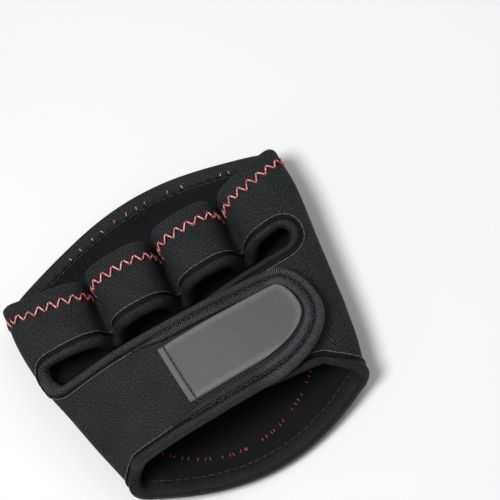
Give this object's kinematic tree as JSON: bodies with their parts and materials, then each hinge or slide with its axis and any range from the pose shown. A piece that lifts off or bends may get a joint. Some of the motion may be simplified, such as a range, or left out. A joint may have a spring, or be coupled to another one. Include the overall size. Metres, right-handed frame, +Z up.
{
  "type": "lifting grip pad",
  "caption": "Neoprene weight lifting grip pad with finger loops, taped edges, a closing wrist strap and a rubberised patch under the palm.",
  "frame": {"origin": "middle of the pad's box, on the floor that it rests on with its palm down", "axes": "+X across the hand to the little finger's side, +Y to the fingers, +Z up through the back of the hand"},
  "size_m": [0.1088, 0.1094, 0.0303],
  "materials": {
    "neoprene": "matt knitted jersey on neoprene",
    "elastic_tape": "ribbed woven elastic",
    "grip_cloth": "rubberised ribbed cloth, slight sheen",
    "tab_cloth": "smooth matt coated cloth",
    "hook_tape": "matt",
    "red_thread": "twisted thread",
    "black_thread": "twisted thread"
  },
  "bodies": {
    "root": {"palm_panel": "neoprene", "finger_strip": "neoprene", "wrist_strap": "neoprene", "closure_underlap": "neoprene", "edge_binding": "elastic_tape", "grip_patch": "grip_cloth", "tab_patch": "tab_cloth", "hook_pad": "hook_tape"}
  },
  "joints": []
}
